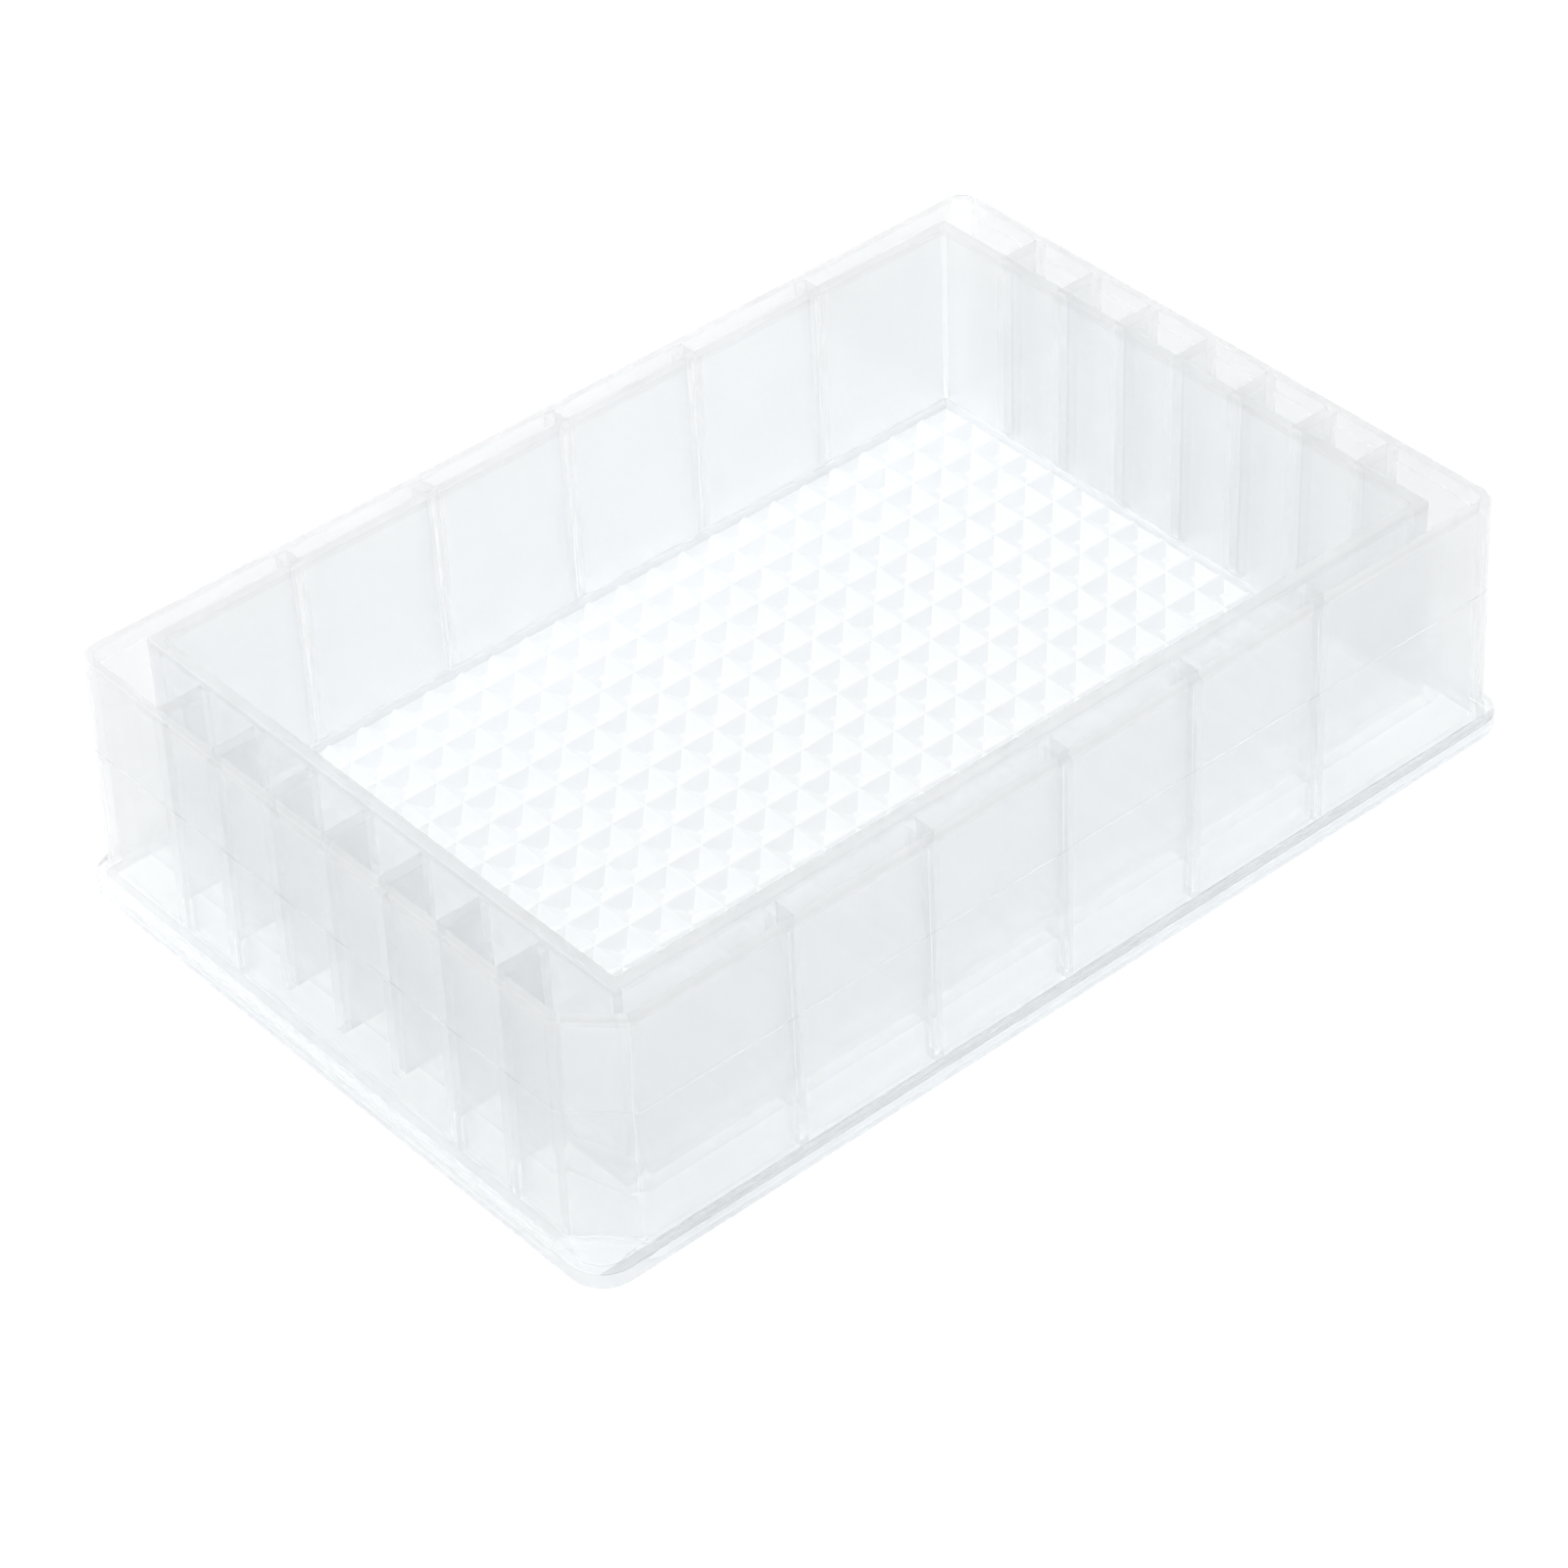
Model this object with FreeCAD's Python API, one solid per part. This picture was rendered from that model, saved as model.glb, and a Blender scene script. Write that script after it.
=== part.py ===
import FreeCAD, Part
import math
import os

from FreeCAD import Vector

os.makedirs("parts", exist_ok=True)

# Reagent reservoir on the standard microplate footprint, moulded in one piece.
# X runs along the long side, Y along the short side, Z up from the resting face.
# The outer wall's cut corner is at -X, -Y.

# base flange and the low plinth that the wall stands on
footprint_length = 127.76
footprint_width = 85.48
flange_height = 2.0
flange_radius = 4.2
flange_round = 0.3
flange_bevel = 0.15
flange_thickness = 1.6
plinth_inset = 1.1
plinth_height = 2.2
cove_height = 3.0

# heights from the resting face
overall_height = 31.0
trough_stand = 0.65
lip_depth = 1.85
step_height = 18.9
floor_height = 7.05
foot_height = 1.4

# outer wall, which leans in slightly towards the rim
end_ledge = 1.98
side_ledge = 1.44
wall_lean = 0.3
rim_radius = 2.6
rim_round = 0.55
step_depth = 0.08
corner_cut = 5.7
cut_round = 2.0
inner_cut_round = 0.8
lip_thickness = 1.3
wall_thickness = 1.45
low_thickness = 1.15
draw = 0.1

# the floor's pits, one for each place of a 384-place plate, and the bumps below them
pit_columns = 24
pit_rows = 16
pit_pitch = 4.5
pit_depth = 0.87
pit_flat = 0.9
ridge_width = 0.2
bump_flat = 1.3
groove_width = 0.16

# trough that holds the liquid; its walls stand a little inside the outermost pits
floor_trim = 0.6
floor_thickness = 1.2
cavity_lean = 0.45
cavity_radius = 0.25
trough_radius = 0.7
trough_rim_wall = 1.5
trough_low_wall = 1.4
trough_rim_round = 0.35
underside_round = 0.6

# ribs across the gap between the trough and the outer wall
side_rib_count = 5
side_rib_spacing = 18.0
end_rib_count = 7
end_rib_spacing = 9.0
rib_drop = 0.1
rib_thick_top = 1.5
rib_thick_foot = 1.1
rib_bottom = 6.0
middle_rib_bottom = 5.4
stub_reach = 1.1
stub_round = 1.2

# how far a rib runs into what it joins, so that they fuse into one solid
bite = 0.8

# half sizes and heights that follow from the sizes above
foot_x = footprint_length / 2
foot_y = footprint_width / 2
rim_x = foot_x - end_ledge
rim_y = foot_y - side_ledge
floor_x = pit_columns * pit_pitch / 2 - floor_trim
floor_y = pit_rows * pit_pitch / 2 - floor_trim
cavity_x = floor_x + cavity_lean
cavity_y = floor_y + cavity_lean
rim_height = overall_height - trough_stand
lip_height = rim_height - lip_depth
underside_height = floor_height - floor_thickness


def outline(half_x, half_y, radius, z, cut=0.0, soften=0.0):
    """closed outline with rounded corners; cut takes off the corner at -X, -Y"""
    k = radius * math.sqrt(0.5)
    flat_x = half_x - radius
    flat_y = half_y - radius
    corner = cut if cut > 0 else radius
    tangent = soften * math.tan(math.pi / 8)
    start = Vector(-half_x, corner - half_y + tangent, z)
    end = Vector(corner - half_x + tangent, -half_y, z)
    edges = [
        Part.makeLine(end, Vector(flat_x, -half_y, z)),
        Part.Arc(Vector(flat_x, -half_y, z), Vector(flat_x + k, -flat_y - k, z),
                 Vector(half_x, -flat_y, z)).toShape(),
        Part.makeLine(Vector(half_x, -flat_y, z), Vector(half_x, flat_y, z)),
        Part.Arc(Vector(half_x, flat_y, z), Vector(flat_x + k, flat_y + k, z),
                 Vector(flat_x, half_y, z)).toShape(),
        Part.makeLine(Vector(flat_x, half_y, z), Vector(-flat_x, half_y, z)),
        Part.Arc(Vector(-flat_x, half_y, z), Vector(-flat_x - k, flat_y + k, z),
                 Vector(-half_x, flat_y, z)).toShape(),
        Part.makeLine(Vector(-half_x, flat_y, z), start),
    ]
    if cut > 0:
        # the cut meets each side in an arc that turns through 45 degrees
        across = tangent * math.sqrt(0.5)
        rise = soften * (1 - math.cos(math.pi / 8))
        run = soften * math.sin(math.pi / 8)
        cut_start = Vector(across - half_x, corner - half_y - across, z)
        cut_end = Vector(corner - half_x - across, across - half_y, z)
        edges.append(Part.Arc(start, Vector(rise - half_x, start.y - run, z),
                              cut_start).toShape())
        edges.append(Part.makeLine(cut_start, cut_end))
        edges.append(Part.Arc(cut_end, Vector(end.x - run, rise - half_y, z), end).toShape())
    else:
        edges.append(Part.Arc(start, Vector(-flat_x - k, -flat_y - k, z), end).toShape())
    return Part.Wire(edges)


def rectangle(cx, cy, half_x, half_y, z):
    """closed rectangle about a centre in the level z"""
    return Part.makePolygon([
        Vector(cx - half_x, cy - half_y, z),
        Vector(cx + half_x, cy - half_y, z),
        Vector(cx + half_x, cy + half_y, z),
        Vector(cx - half_x, cy + half_y, z),
        Vector(cx - half_x, cy - half_y, z)])


def block(low, high):
    """solid between two outlines of the same pattern"""
    return Part.makeLoft([low, high], True, True)


def level_edges(shape, z):
    """edges that lie wholly in the level z"""
    return [edge for edge in shape.Edges
            if abs(edge.BoundBox.ZMin - z) < 1e-4 and abs(edge.BoundBox.ZMax - z) < 1e-4]


def make_cove(lean):
    """slope from the rounded plinth up to the wall, whose corner is cut"""
    plinth_x = foot_x - plinth_inset
    plinth_y = foot_y - plinth_inset
    plinth_radius = flange_radius - plinth_inset
    # a cut just longer than its own rounding stands for the plinth's round corner
    round_cut = 1.05 * (2 - math.sqrt(2)) * plinth_radius
    grown = lean * (1 - cove_height / rim_height)
    return block(
        outline(plinth_x, plinth_y, plinth_radius, plinth_height, round_cut, plinth_radius),
        outline(rim_x + grown, rim_y + grown, rim_radius, cove_height, corner_cut, cut_round))


def make_shell():
    """flange, plinth and outer wall, with the hollow inside the wall taken out"""
    flange = block(outline(foot_x, foot_y, flange_radius, 0),
                   outline(foot_x, foot_y, flange_radius, flange_height))
    flange = flange.makeFillet(flange_round, level_edges(flange, flange_height))
    flange = flange.makeChamfer(flange_bevel, level_edges(flange, 0))

    plinth_x = foot_x - plinth_inset
    plinth_y = foot_y - plinth_inset
    plinth_radius = flange_radius - plinth_inset
    plinth = block(outline(plinth_x, plinth_y, plinth_radius, flange_height / 2),
                   outline(plinth_x, plinth_y, plinth_radius, plinth_height))

    # the wall's outside, with a fine step where its lower part stands proud
    lean = wall_lean * rim_height / (rim_height - flange_height)

    def outer(grown, z):
        return outline(rim_x + grown, rim_y + grown, rim_radius, z, corner_cut, cut_round)

    step_lean = lean * (1 - step_height / rim_height)
    low_wall = block(outer(lean, 0), outer(step_lean, step_height))
    wall = block(outer(step_lean - step_depth, step_height), outer(0, rim_height))
    wall = wall.makeFillet(rim_round, level_edges(wall, rim_height))

    # inside the wall: each level's thickness is counted from the rim's outline
    inner_radius = rim_radius - wall_thickness
    inner_cut = corner_cut - (2 - math.sqrt(2)) * wall_thickness

    def inner(thickness, z):
        return outline(rim_x - thickness, rim_y - thickness, inner_radius, z, inner_cut,
                       inner_cut_round)

    # inside the flange, where the hollow widens; its cut keeps the wall's cut face covered
    hollow_x = foot_x - flange_thickness
    hollow_y = foot_y - flange_thickness
    cut_face = rim_x + rim_y + 2 * lean - corner_cut - math.sqrt(2) * low_thickness
    foot_cut = hollow_x + hollow_y - cut_face

    def foot(grown, z):
        return outline(hollow_x + grown, hollow_y + grown, inner_radius, z,
                       foot_cut + grown, inner_cut_round)

    hollows = [
        block(inner(lip_thickness, lip_height), inner(lip_thickness, overall_height)),
        block(inner(low_thickness, foot_height), inner(wall_thickness, lip_height)),
        block(foot(draw, -flange_height), foot(0, foot_height)),
    ]
    return wall.fuse([low_wall, flange, plinth, make_cove(lean)]).cut(Part.makeCompound(hollows))


def make_trough_block():
    """the trough before it is hollowed, a little wider towards its rim"""
    def grown(wall, z):
        return outline(cavity_x + wall, cavity_y + wall, trough_radius, z)

    trough = block(grown(trough_low_wall, underside_height),
                   grown(trough_rim_wall, overall_height))
    trough = trough.makeFillet(trough_rim_round, level_edges(trough, overall_height))
    return trough.makeFillet(underside_round, level_edges(trough, underside_height))


def rib_side_view(inner, wall_face, low, stub):
    """a rib from the side: a level bottom, then for most a stub down the wall"""
    outer = wall_face + bite
    top = rim_height - rib_drop
    if not stub:
        corners = [(inner, low), (outer, low), (outer, top), (inner, top), (inner, low)]
        return Part.makePolygon([Vector(x, 0, z) for x, z in corners])
    stub_face = wall_face - stub_reach
    corners = [(stub_face, low - stub_round), (stub_face, foot_height), (outer, foot_height),
               (outer, top), (inner, top), (inner, low), (stub_face - stub_round, low)]
    straight = Part.makePolygon([Vector(x, 0, z) for x, z in corners])
    k = stub_round * (1 - math.sqrt(0.5))
    bend = Part.Arc(Vector(stub_face - stub_round, 0, low), Vector(stub_face - k, 0, low - k),
                    Vector(stub_face, 0, low - stub_round)).toShape()
    return Part.Wire(straight.Edges + [bend])


def make_rib(inner, wall_face, low, stub):
    """one rib that reaches along +X from the trough to the wall, thinner towards the foot"""
    middle = (inner + wall_face + bite) / 2
    reach = wall_face + bite - inner
    plate = Part.Face(rib_side_view(inner, wall_face, low, stub))
    plate.translate(Vector(0, -rib_thick_top, 0))
    plate = plate.extrude(Vector(0, 2 * rib_thick_top, 0))
    taper = block(rectangle(middle, 0, reach, rib_thick_foot / 2, foot_height),
                  rectangle(middle, 0, reach, rib_thick_top / 2, rim_height))
    return plate.common(taper)


def make_ribs():
    """all ribs, each turned to its side and moved along it"""
    ribs = []
    end_wall = rim_x - wall_thickness
    side_wall = rim_y - wall_thickness
    axis = Vector(0, 0, 1)
    for turn in (0, 180):
        for n in range(end_rib_count):
            place = (n - (end_rib_count - 1) / 2) * end_rib_spacing
            middle = abs(place) < 1.5 * end_rib_spacing
            low = middle_rib_bottom if middle else rib_bottom
            rib = make_rib(cavity_x + bite, end_wall, low, not middle)
            rib.rotate(Vector(0, 0, 0), axis, turn)
            rib.translate(Vector(0, place, 0))
            ribs.append(rib)
        for n in range(side_rib_count):
            place = (n - (side_rib_count - 1) / 2) * side_rib_spacing
            rib = make_rib(cavity_y + bite, side_wall, rib_bottom, True)
            rib.rotate(Vector(0, 0, 0), axis, turn + 90)
            rib.translate(Vector(place, 0, 0))
            ribs.append(rib)
    return ribs


def pit_centres():
    """centre of each pit, with whether it lies at the edge of the floor"""
    for column in range(pit_columns):
        for row in range(pit_rows):
            cx = (column - (pit_columns - 1) / 2) * pit_pitch
            cy = (row - (pit_rows - 1) / 2) * pit_pitch
            yield cx, cy, column in (0, pit_columns - 1) or row in (0, pit_rows - 1)


def make_bumps():
    """blunt pyramids under the floor, which keep it of even thickness"""
    half_top = (pit_pitch - groove_width) / 2
    return [block(rectangle(cx, cy, bump_flat / 2, bump_flat / 2, underside_height - pit_depth),
                  rectangle(cx, cy, half_top, half_top, underside_height))
            for cx, cy, _ in pit_centres()]


def make_pits():
    """blunt pyramids to cut from the floor; the outermost stop at the trough's walls"""
    half_top = (pit_pitch - ridge_width) / 2
    floor = Part.makeBox(2 * floor_x, 2 * floor_y, 2 * pit_depth,
                         Vector(-floor_x, -floor_y, floor_height - pit_depth))
    pits = []
    for cx, cy, at_edge in pit_centres():
        pit = block(rectangle(cx, cy, pit_flat / 2, pit_flat / 2, floor_height - pit_depth),
                    rectangle(cx, cy, half_top, half_top, floor_height))
        if at_edge:
            pit = pit.common(floor)
        pits.append(pit)
    return pits


cavity = block(outline(floor_x, floor_y, cavity_radius, floor_height),
               outline(cavity_x, cavity_y, cavity_radius, overall_height))
body = make_shell().fuse([make_trough_block()] + make_ribs())
body = body.fuse(Part.makeCompound(make_bumps()))
body = body.cut(Part.makeCompound([cavity] + make_pits()))
body = body.removeSplitter()
if len(body.Solids) == 1:
    body = body.Solids[0]

print("solids", len(body.Solids), "valid", body.isValid(), "faces", len(body.Faces))
print("volume", round(body.Volume / 1000, 2), "cubic centimetres")
body.exportStep("parts/reservoir_body.step")
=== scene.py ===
import math
import bpy
import numpy as np
from mathutils import Matrix, Vector


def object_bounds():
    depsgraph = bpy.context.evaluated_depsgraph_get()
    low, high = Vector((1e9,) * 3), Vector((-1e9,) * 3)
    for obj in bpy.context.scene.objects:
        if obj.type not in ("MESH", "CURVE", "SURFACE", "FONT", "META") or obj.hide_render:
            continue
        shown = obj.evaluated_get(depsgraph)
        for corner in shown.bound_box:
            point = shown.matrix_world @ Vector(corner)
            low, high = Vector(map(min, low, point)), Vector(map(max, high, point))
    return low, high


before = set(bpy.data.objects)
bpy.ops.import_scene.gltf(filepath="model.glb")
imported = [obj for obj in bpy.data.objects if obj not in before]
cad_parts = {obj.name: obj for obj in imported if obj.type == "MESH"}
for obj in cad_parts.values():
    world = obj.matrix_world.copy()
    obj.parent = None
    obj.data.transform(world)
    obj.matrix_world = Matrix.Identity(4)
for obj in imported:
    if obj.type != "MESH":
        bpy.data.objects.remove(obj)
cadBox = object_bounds()
print("frame loaded:", ", ".join(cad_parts))

# the box stands evenly about the middle of the base; all lengths are in metres
benchLevel = cadBox[0][2]
halfLength, halfWidth, troughTop = cadBox[1]
objectCentre = (Vector(cadBox[0]) + Vector(cadBox[1])) / 2


def feed(tree, socket, value):  # another node's output is linked, a plain value is set
    if isinstance(value, bpy.types.NodeSocket):
        tree.links.new(value, socket)
    else:
        socket.default_value = value


def addNode(tree, kind, **inputs):  # an underscore stands for a space in an input's name
    node = tree.nodes.new(kind)
    for name, value in inputs.items():
        feed(tree, node.inputs[name.replace("_", " ")], value)
    return node


def addMath(tree, operation, *values):  # each value is a socket or a plain number
    node = tree.nodes.new("ShaderNodeMath")
    node.operation = operation
    for socket, value in zip(node.inputs, values):
        feed(tree, socket, value)
    return node.outputs[0]


def mixShaders(tree, share, first, second):  # share 0 shows the first, 1 the second
    mix = tree.nodes.new("ShaderNodeMixShader")
    for socket, value in zip(mix.inputs, (share, first.outputs[0], second.outputs[0])):
        feed(tree, socket, value)
    return mix


def mixColours(tree, share, first, second):  # the same for two colours
    mix = tree.nodes.new("ShaderNodeMix")
    mix.data_type = "RGBA"
    colours = [socket for socket in mix.inputs if socket.type == "RGBA"]
    for socket, value in zip([mix.inputs["Factor"]] + colours, (share, first, second)):
        feed(tree, socket, value)
    return next(socket for socket in mix.outputs if socket.type == "RGBA")


def spread(tree, value, low, high, first, second):  # carries low..high onto first..second
    node = addNode(tree, "ShaderNodeMapRange", Value=value, From_Min=low, From_Max=high,
                   To_Min=first, To_Max=second)
    node.interpolation_type = "SMOOTHSTEP"
    return node.outputs[0]


def within(tree, value, low, high):  # 1 where value lies between low and high
    return addMath(tree, "COMPARE", value, (low + high) / 2, (high - low) / 2)


def splitPlace(tree, place):  # the sockets for x, y and z
    return addNode(tree, "ShaderNodeSeparateXYZ", Vector=place).outputs


def newMaterial(name):  # a node material with nothing in it yet
    material = bpy.data.materials.new(name)
    material.use_nodes = True
    material.node_tree.nodes.clear()
    return material, material.node_tree


# natural polypropylene: clear enough to look through, with a milky haze
plastic = {
    "colour": (0.993, 0.997, 1.0, 1),
    "clear": 0.6,  # share of light that goes through unbent
    "clearPass": (0.992, 0.996, 1.0, 1),  # what straight light keeps at each surface
    "lampPass": (0.95, 0.965, 0.975, 1),  # what lamps keep at each surface
    "bend": 1.46,  # index of refraction
    "smooth": 0.06,  # roughness where the surface is glossiest
    "rough": 0.12,  # and where it is dullest

    # the milky share, higher on the pitted floor, which is textured
    "haze": 0.2,
    "hazeColour": (0.985, 0.994, 1.0, 1),
    "floorHaze": 0.68,
    "floorColour": (0.95, 0.962, 0.972, 1),
    "floorFade": (0.0074, 0.0086),  # heights between which the floor's haze fades out
    "floorIn": (0.00958, 0.00644),  # from the base's ends and sides in to the trough's walls

    # clouds: the haze and the gloss wander from place to place
    "cloudScale": 70.0,
    "cloudDetail": 3.0,
    "cloudSpan": (0.3, 0.7),  # the part of the noise that is used
    "cloudReach": 0.02,  # how far the haze wanders either way

    # flow marks: streaks drawn out up the walls, where the melt lies denser and in low relief
    "flowColour": (0.97, 0.983, 0.993, 1),
    "flowScale": 24.0,
    "flowDetail": 1.0,
    "flowSwirl": 0.4,
    "flowStretch": 14.0,
    "flowSpan": (0.45, 0.75),
    "reliefHeight": 3e-6,
    "reliefStrength": 0.5,
}

# painted shade: places whose colours are darkened towards black, each by its own share
paintedShade = {
    # painted shade on the flange's top ledge
    "ledge": 0.22,  # top of the base flange, along the long sides
    "ledgeHeights": (0.00185, 0.00215),  # just below and just above it
    "ledgeIn": 0.00124,  # its width, from the base's side inwards
    # painted shade on the rims' tops
    "rims": 0.06,
    "rimsBelow": (0.001, 0.0007),  # below the trough's rim, where it starts and is full
    # painted shade along the ribs, where they cross the gap between trough and wall
    "ribs": 0.018,
    "ribHalf": 0.0008,  # half the width of the painted shade on each rib
    # reach is how far from a side's middle the ribs go, and gapIn where the gap that they
    # cross begins and ends, counted from the base's side inwards
    "sideRibs": {"pitch": 0.018, "reach": 0.037, "gapIn": (0.00484, 0.00274)},
    "endRibs": {"pitch": 0.009, "reach": 0.028, "gapIn": (0.00848, 0.00328)},
    "drift": 0.025,  # painted shade, a touch darker towards the cut corner and the near long side
    "driftSlope": 1.5,  # how much more the drift follows the width than the length
}


def floorMask(tree, place):
    # 1 low inside the trough, 0 above it and outside its walls
    x, y, z = splitPlace(tree, place)
    mask = spread(tree, z, *plastic["floorFade"], 1.0, 0.0)
    lengthIn, widthIn = plastic["floorIn"]
    for side, half in ((x, halfLength - lengthIn), (y, halfWidth - widthIn)):
        inside = addMath(tree, "LESS_THAN", addMath(tree, "ABSOLUTE", side), half)
        mask = addMath(tree, "MULTIPLY", mask, inside)
    return mask


def ribMask(tree, along, across, half, ribs):
    # 1 near each multiple of the pitch along one side, in the gap between trough and wall
    toNearest = addMath(tree, "PINGPONG", along, ribs["pitch"] / 2)
    near = addMath(tree, "LESS_THAN", toNearest, paintedShade["ribHalf"])
    gap = within(tree, across, *(half - inset for inset in ribs["gapIn"]))
    inReach = addMath(tree, "LESS_THAN", along, ribs["reach"])
    return addMath(tree, "MULTIPLY", addMath(tree, "MULTIPLY", near, gap), inReach)


def paintedShadeMask(tree, place):
    # painted shade: how far each place is darkened: the rims, the slow drift towards the cut
    # corner above the base, the ribs and the ledges
    x, y, z = splitPlace(tree, place)
    awayX = addMath(tree, "ABSOLUTE", x)
    awayY = addMath(tree, "ABSOLUTE", y)
    # painted shade on the rims' tops, from just below the trough's rim upwards
    rimStart, rimFull = (troughTop - below for below in paintedShade["rimsBelow"])
    rims = spread(tree, z, rimStart, rimFull, 0.0, paintedShade["rims"])

    # painted shade, darker towards the cut corner and the near long side, above the base
    slant = addMath(tree, "MULTIPLY_ADD", y, paintedShade["driftSlope"], x)
    reach = halfLength + paintedShade["driftSlope"] * halfWidth
    drift = spread(tree, slant, -reach, reach, paintedShade["drift"], 0.0)
    aboveBase = addMath(tree, "GREATER_THAN", z, paintedShade["ledgeHeights"][0])
    total = addMath(tree, "ADD", rims, addMath(tree, "MULTIPLY", drift, aboveBase))

    # painted shade on the ribs
    ribs = addMath(tree, "MAXIMUM", ribMask(tree, awayX, awayY, halfWidth, paintedShade["sideRibs"]),
                   ribMask(tree, awayY, awayX, halfLength, paintedShade["endRibs"]))
    total = addMath(tree, "MULTIPLY_ADD", ribs, paintedShade["ribs"], total)

    # painted shade on the flange's top ledge, along the long sides
    farOut = addMath(tree, "GREATER_THAN", awayY, halfWidth - paintedShade["ledgeIn"])
    ledge = addMath(tree, "MULTIPLY", within(tree, z, *paintedShade["ledgeHeights"]), farOut)
    return addMath(tree, "MULTIPLY_ADD", ledge, paintedShade["ledge"], total)


def makePlastic():
    material, tree = newMaterial("polypropylene")
    place = tree.nodes.new("ShaderNodeTexCoord").outputs["Object"]
    low = floorMask(tree, place)
    # painted shade: how far each place is darkened, used on every colour below
    paintedShadeShare = paintedShadeMask(tree, place)
    black = (0, 0, 0, 1)

    cloud = addNode(tree, "ShaderNodeTexNoise", Vector=place, Scale=plastic["cloudScale"],
                    Detail=plastic["cloudDetail"]).outputs["Fac"]
    stretch = plastic["flowStretch"]
    drawn = addNode(tree, "ShaderNodeMapping", Vector=place, Scale=(stretch, stretch, 1.0))
    flow = addNode(tree, "ShaderNodeTexNoise", Vector=drawn.outputs["Vector"],
                   Scale=plastic["flowScale"], Detail=plastic["flowDetail"],
                   Distortion=plastic["flowSwirl"]).outputs["Fac"]

    # glassy share: bent light mixed with straight light
    streaks = mixColours(tree, spread(tree, flow, *plastic["flowSpan"], 0.0, 1.0),
                         plastic["colour"], plastic["flowColour"])
    gloss = spread(tree, cloud, *plastic["cloudSpan"], plastic["smooth"], plastic["rough"])
    relief = addNode(tree, "ShaderNodeBump", Strength=plastic["reliefStrength"],
                     Distance=plastic["reliefHeight"], Height=flow)
    # the painted shade darkens the colours of the bent light and of the straight light
    bent = addNode(tree, "ShaderNodeBsdfPrincipled",
                   Base_Color=mixColours(tree, paintedShadeShare, streaks, black), Roughness=gloss,
                   IOR=plastic["bend"], Transmission_Weight=1.0,
                   Normal=relief.outputs["Normal"])
    straight = addNode(tree, "ShaderNodeBsdfTransparent",
                       Color=mixColours(tree, paintedShadeShare, plastic["clearPass"], black))
    glassy = mixShaders(tree, plastic["clear"], bent, straight)

    # milky share: seen from outside it scatters the light on it, from inside it passes it on
    milkColour = mixColours(tree, low, plastic["hazeColour"], plastic["floorColour"])
    # the painted shade darkens the milky colour as well
    milkWithPaintedShade = mixColours(tree, paintedShadeShare, milkColour, black)
    scatter = addNode(tree, "ShaderNodeBsdfDiffuse", Color=milkWithPaintedShade)
    passOn = addNode(tree, "ShaderNodeBsdfTranslucent", Color=milkWithPaintedShade)
    backFacing = tree.nodes.new("ShaderNodeNewGeometry").outputs["Backfacing"]
    milk = mixShaders(tree, backFacing, scatter, passOn)

    haze, wander = plastic["haze"], plastic["cloudReach"]
    share = spread(tree, cloud, *plastic["cloudSpan"], haze - wander, haze + wander)
    share = addMath(tree, "MULTIPLY_ADD", low, plastic["floorHaze"] - haze, share)
    seen = mixShaders(tree, share, glassy, milk)
    forLamps = addNode(tree, "ShaderNodeBsdfTransparent", Color=plastic["lampPass"])
    toLamp = tree.nodes.new("ShaderNodeLightPath").outputs["Is Shadow Ray"]
    whole = mixShaders(tree, toLamp, seen, forLamps)
    addNode(tree, "ShaderNodeOutputMaterial", Surface=whole.outputs[0])
    return material


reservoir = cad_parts["reservoir_body"]
reservoir.data.materials.clear()
reservoir.data.materials.append(makePlastic())
print("plastic on the reservoir")

# pale floor; lift is the light added where it is seen directly, so that it reads white
floor = {"half": 3.0, "gap": 0.0001, "colour": (0.85, 0.85, 0.85, 1), "lift": 0.15}


def seenDirectly(tree):  # 1 for rays from the camera, off gloss or through plastic
    path = tree.nodes.new("ShaderNodeLightPath")
    either = addMath(tree, "MAXIMUM", path.outputs["Is Camera Ray"],
                     path.outputs["Is Glossy Ray"])
    return addMath(tree, "MAXIMUM", either, path.outputs["Is Transmission Ray"])


def makeFloor():
    # a square: corner k lies at plus or minus the half size along each axis
    signs = np.array([(-1, -1), (1, -1), (1, 1), (-1, 1)], float)
    heights = np.full(len(signs), benchLevel - floor["gap"])
    points = np.column_stack([signs * floor["half"], heights])
    mesh = bpy.data.meshes.new("floor")
    mesh.from_pydata(points.tolist(), [], [(0, 1, 2, 3)])
    plane = bpy.data.objects.new("floor", mesh)
    bpy.context.scene.collection.objects.link(plane)

    material, tree = newMaterial("pale floor")
    diffuse = addNode(tree, "ShaderNodeBsdfDiffuse", Color=floor["colour"])
    lift = addMath(tree, "MULTIPLY", seenDirectly(tree), floor["lift"])
    glow = addNode(tree, "ShaderNodeEmission", Strength=lift)
    both = tree.nodes.new("ShaderNodeAddShader")
    for socket, shader in zip(both.inputs, (diffuse, glow)):
        feed(tree, socket, shader.outputs[0])
    addNode(tree, "ShaderNodeOutputMaterial", Surface=both.outputs[0])
    mesh.materials.append(material)


makeFloor()
print("floor")

# light: an even white room and one broad soft lamp
light = {
    "roomStrength": 0.86,
    "shownStrength": 1.0,  # the room itself, where it is seen directly
    "lamp": {"azimuth": 200, "elevation": 55, "distance": 0.9, "size": 0.7, "power": 2.8},
}


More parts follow.
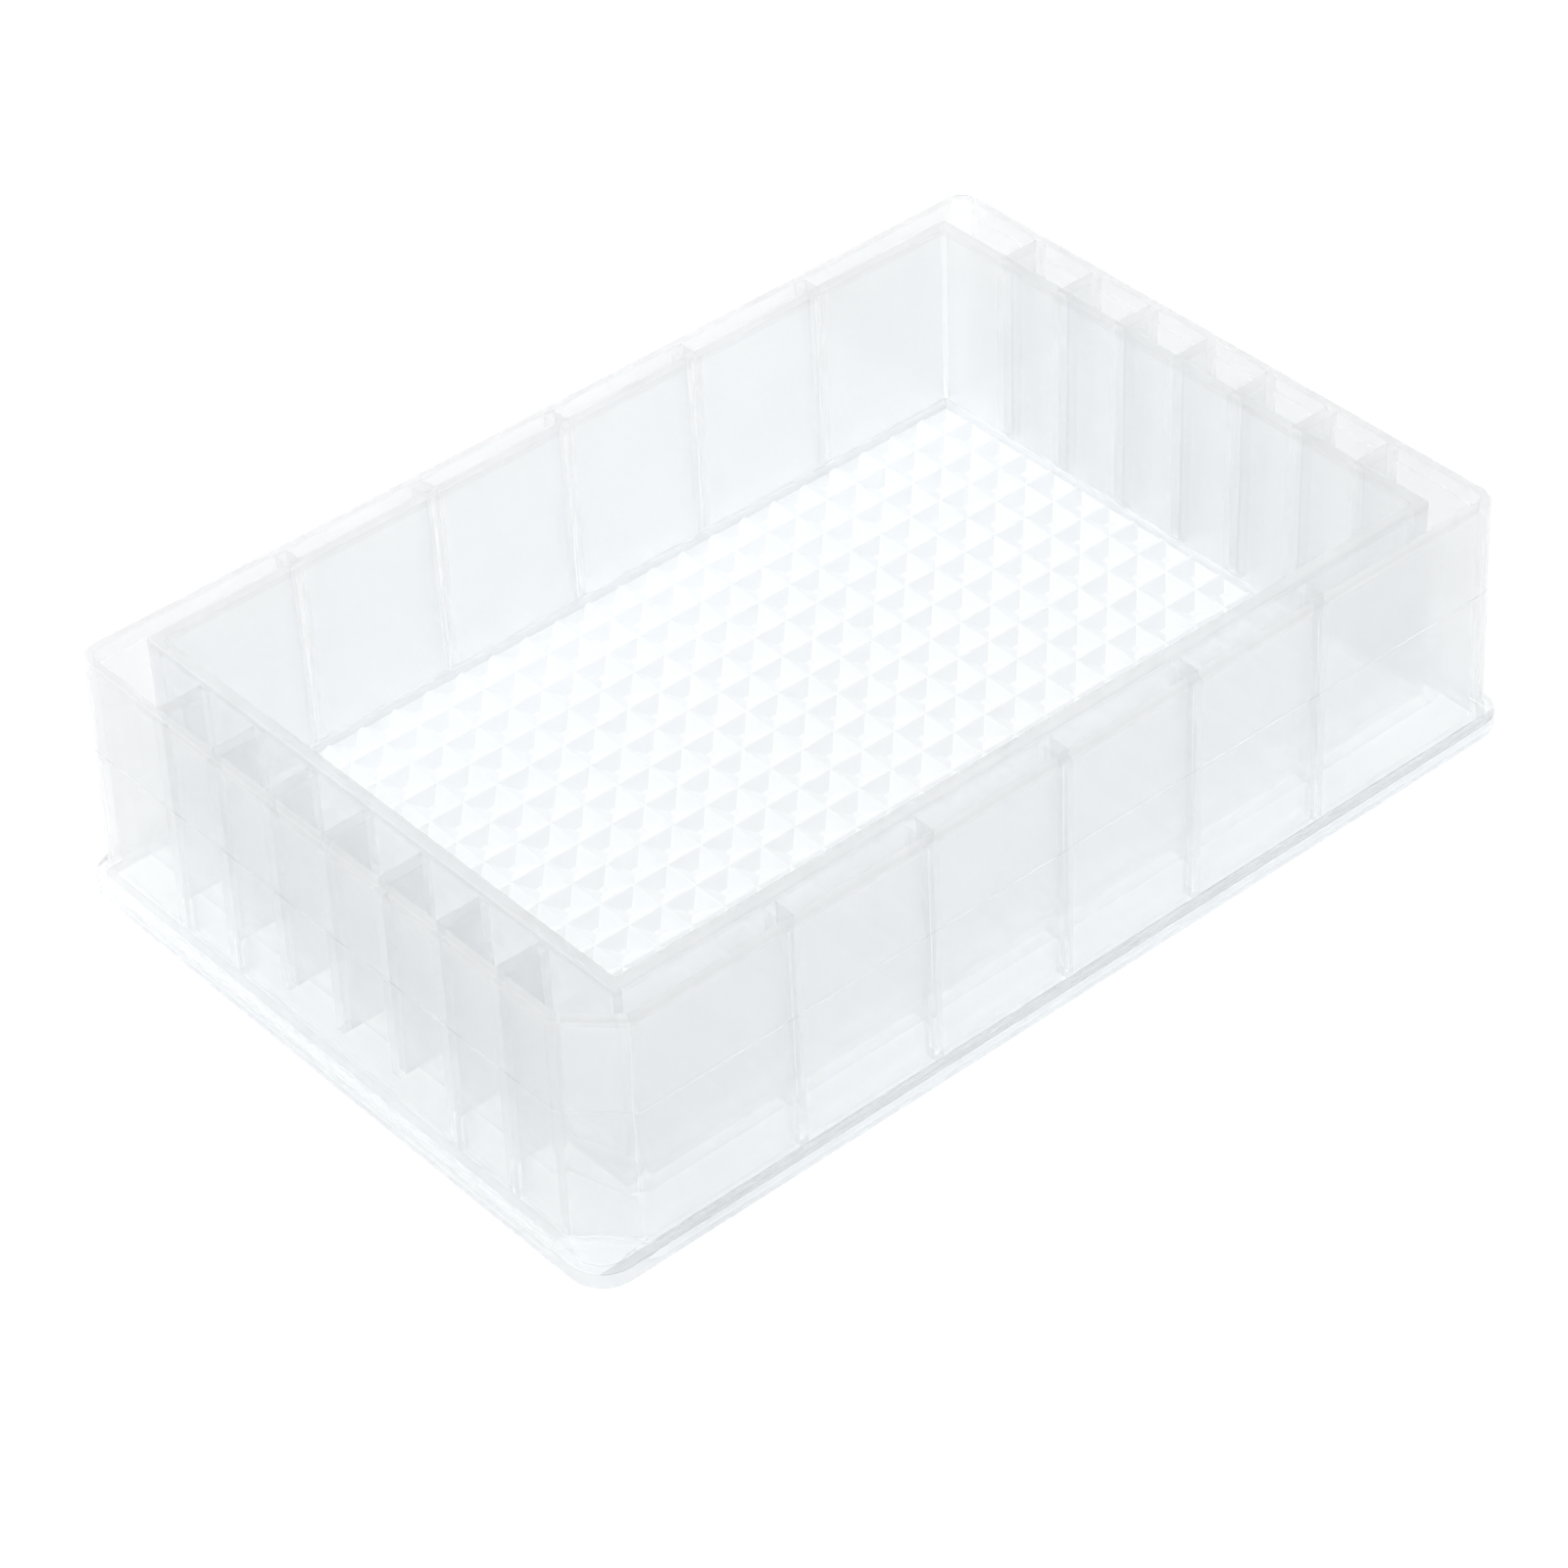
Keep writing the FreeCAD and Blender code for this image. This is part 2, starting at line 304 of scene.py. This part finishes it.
def aimFrom(azimuth, elevation, distance, target):
    # camera and lamp places: azimuth 0 looks along +Y, elevation is above the floor
    a, e = math.radians(azimuth), math.radians(elevation)
    away = Vector((math.sin(a) * math.cos(e), -math.cos(a) * math.cos(e), math.sin(e)))
    right = Vector((0, 0, 1)).cross(away).normalized()
    up = away.cross(right)
    turn = Matrix((right, up, away)).transposed().to_4x4()
    return Matrix.Translation(target + away * distance) @ turn


def makeRoom():
    world = bpy.data.worlds.new("white room")
    bpy.context.scene.world = world
    world.use_nodes = True
    tree = world.node_tree
    tree.nodes.clear()
    white = (1, 1, 1, 1)
    room = addNode(tree, "ShaderNodeBackground", Color=white, Strength=light["roomStrength"])
    shown = addNode(tree, "ShaderNodeBackground", Color=white,
                    Strength=light["shownStrength"])
    mix = mixShaders(tree, seenDirectly(tree), room, shown)
    addNode(tree, "ShaderNodeOutputWorld", Surface=mix.outputs[0])


def makeLamp():
    values = light["lamp"]
    lamp = bpy.data.lights.new("soft lamp", "AREA")
    lamp.shape = "SQUARE"
    lamp.size = values["size"]
    lamp.energy = values["power"]
    holder = bpy.data.objects.new("soft lamp", lamp)
    holder.matrix_world = aimFrom(values["azimuth"], values["elevation"], values["distance"],
                                  objectCentre)
    bpy.context.scene.collection.objects.link(holder)


makeRoom()
makeLamp()
print("light")

# camera: it looks at a point over the middle of the base, then is rolled and moved sideways
view = {"azimuth": -39.61, "elevation": 39.45, "roll": -2.64, "distance": 0.5408,
        "across": -0.00187, "up": -0.00365, "aimHeight": 0.00706, "lens": 117.39,
        "sensor": 36.0, "nearest": 0.01}


def makeCamera():
    camera = bpy.data.cameras.new("camera")
    camera.lens = view["lens"]
    camera.sensor_width = view["sensor"]
    camera.clip_start = view["nearest"]
    holder = bpy.data.objects.new("camera", camera)
    aim = aimFrom(view["azimuth"], view["elevation"], 0, Vector((0, 0, view["aimHeight"])))
    shift = Matrix.Translation((view["across"], view["up"], view["distance"]))
    roll = Matrix.Rotation(math.radians(view["roll"]), 4, "Z")
    holder.matrix_world = aim @ roll @ shift
    bpy.context.scene.collection.objects.link(holder)
    bpy.context.scene.camera = holder


makeCamera()
bpy.context.scene.view_settings.view_transform = "Standard"
print("camera")
